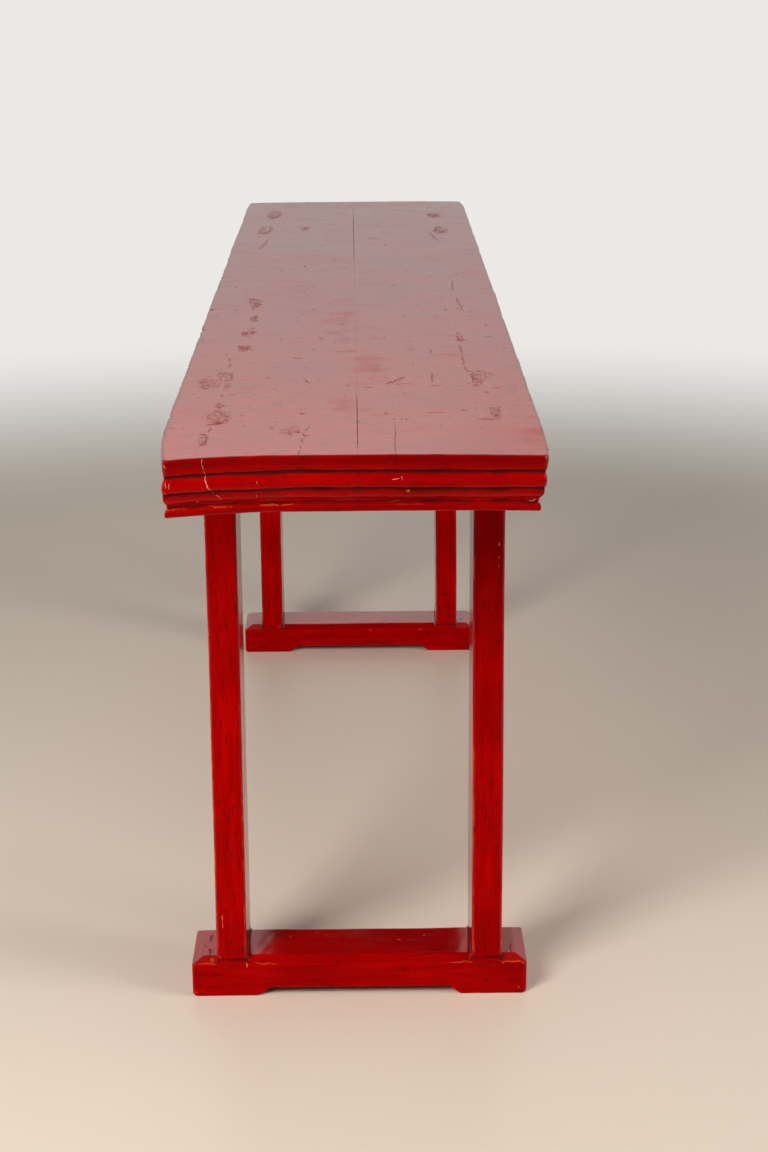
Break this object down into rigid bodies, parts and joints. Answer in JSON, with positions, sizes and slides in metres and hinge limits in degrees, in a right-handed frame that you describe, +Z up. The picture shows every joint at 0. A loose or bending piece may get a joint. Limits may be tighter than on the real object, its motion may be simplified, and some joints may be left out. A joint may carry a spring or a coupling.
{
  "type": "altar table",
  "caption": "Long narrow altar table: thick plank top with moulded edges on plank legs tenoned through it, each pair standing on a relieved foot rail.",
  "frame": {"origin": "on the floor, under the middle of the top", "axes": "+X along the table towards its right end, +Y across it towards the back, +Z up"},
  "size_m": [2.28, 0.457, 0.84],
  "materials": {
    "lacquered_wood": "worn glossy red lacquer, rubbed through at the edges",
    "lacquered_end_grain": "red lacquer cracked round end grain",
    "bare_wood": "bare aged softwood"
  },
  "bodies": {
    "root": {"top_board_front": "lacquered_wood", "top_board_back": "lacquered_wood", "top_joint_tongues": "bare_wood", "leg_right_front": "lacquered_wood", "leg_right_back": "lacquered_wood", "leg_left_front": "lacquered_wood", "leg_left_back": "lacquered_wood", "tenon_wedges": "lacquered_end_grain", "foot_rail_right": "lacquered_wood", "foot_rail_left": "lacquered_wood", "head_rail_right": "lacquered_wood", "head_rail_left": "lacquered_wood", "batten_right": "lacquered_wood", "batten_left": "lacquered_wood", "batten_key_right_front": "lacquered_end_grain", "batten_key_right_back": "lacquered_end_grain", "batten_key_left_front": "lacquered_end_grain", "batten_key_left_back": "lacquered_end_grain"}
  },
  "joints": []
}
